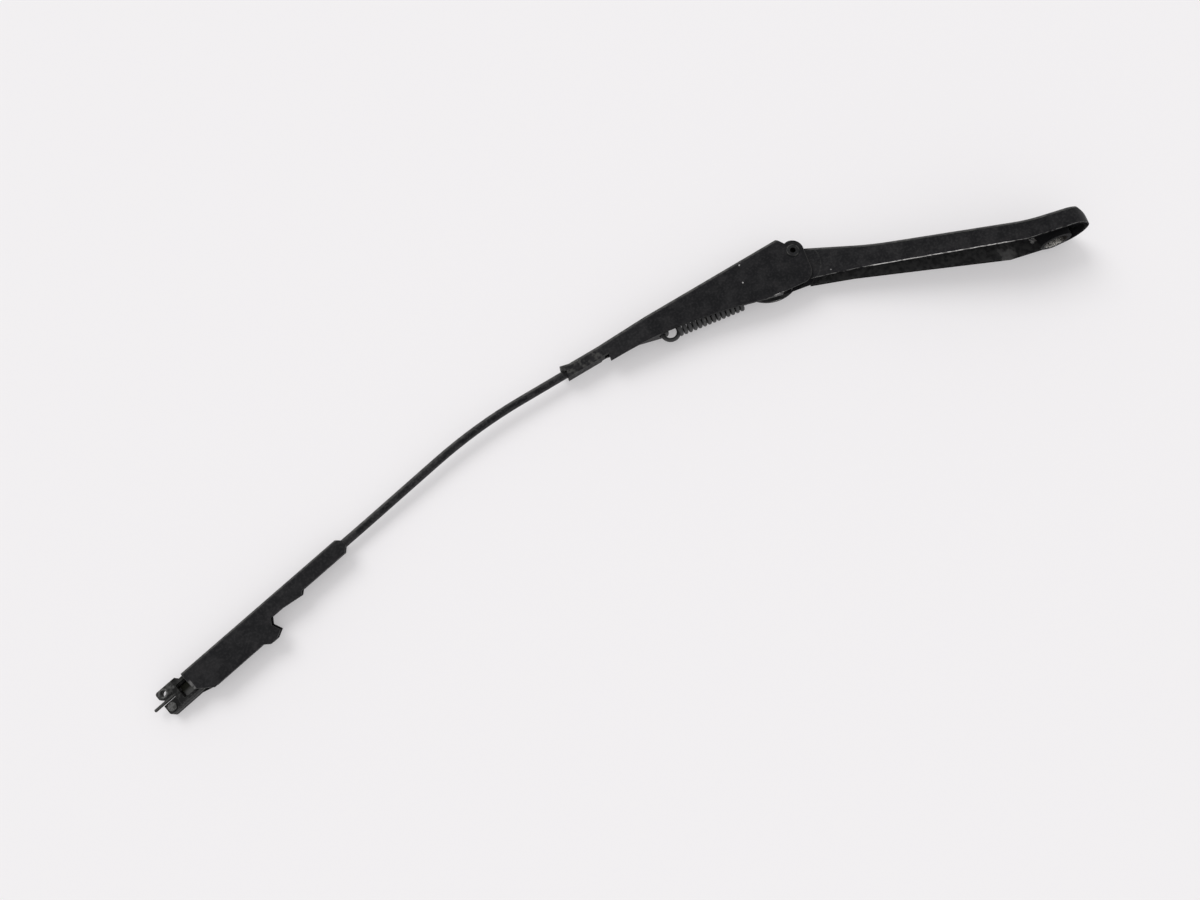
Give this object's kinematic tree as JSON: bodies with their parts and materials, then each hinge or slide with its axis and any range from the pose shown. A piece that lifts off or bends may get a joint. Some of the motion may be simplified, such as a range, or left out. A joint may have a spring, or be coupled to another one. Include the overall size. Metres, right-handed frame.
{
  "type": "wiper arm",
  "caption": "Satin black car wiper arm with a hollow spindle head, a hinged channel over a tension spring, a bent round rod and a channelled tip with a blade coupler.",
  "frame": {"origin": "on the spindle axis, in the stud hole of the hub", "axes": "+X along the arm towards the spindle end, +Y along the spindle axis towards the arm's top, +Z across the arm, up from the table it lies on"},
  "size_m": [0.5343, 0.1409, 0.028],
  "materials": {
    "coat": "satin",
    "bare_steel": "satin",
    "spring_steel": "satin",
    "bush_brass": "satin",
    "moulding": "matte"
  },
  "bodies": {
    "head": {"arm_head": "coat", "spindle_hub": "bare_steel", "hinge_bush_near": "bush_brass", "hinge_bush_far": "bush_brass", "link_pin": "bare_steel"},
    "arm": {"arm_channel": "coat", "hinge_pin": "bare_steel", "tension_spring": "spring_steel", "wiper_rod": "coat", "tip_channel": "coat", "tip_rivet_inner": "bare_steel", "tip_rivet_outer": "bare_steel", "blade_coupler": "moulding", "coupler_rivet": "bare_steel", "latch_peg": "moulding"},
    "link": {"spring_link": "spring_steel"}
  },
  "joints": [
    {"name": "arm_fold", "type": "hinge", "parent": "head", "child": "arm", "pos_m": [-0.1361, 0.0302, -0.007], "axis": [0, 0, -1], "range_deg": [0, 75], "stiffness_Nm_per_rad": 0.84, "springref_deg": -108.86},
    {"name": "spring_stretch", "type": "slide", "parent": "arm", "child": "link", "axis": [0.9963, 0.0862, 0], "range_m": [0, 0.0206], "deforming": ["tension_spring"]}
  ],
  "couplings": [
    {"joint": "spring_stretch", "follows": "arm_fold", "m_per_rad": 0.015631}
  ]
}
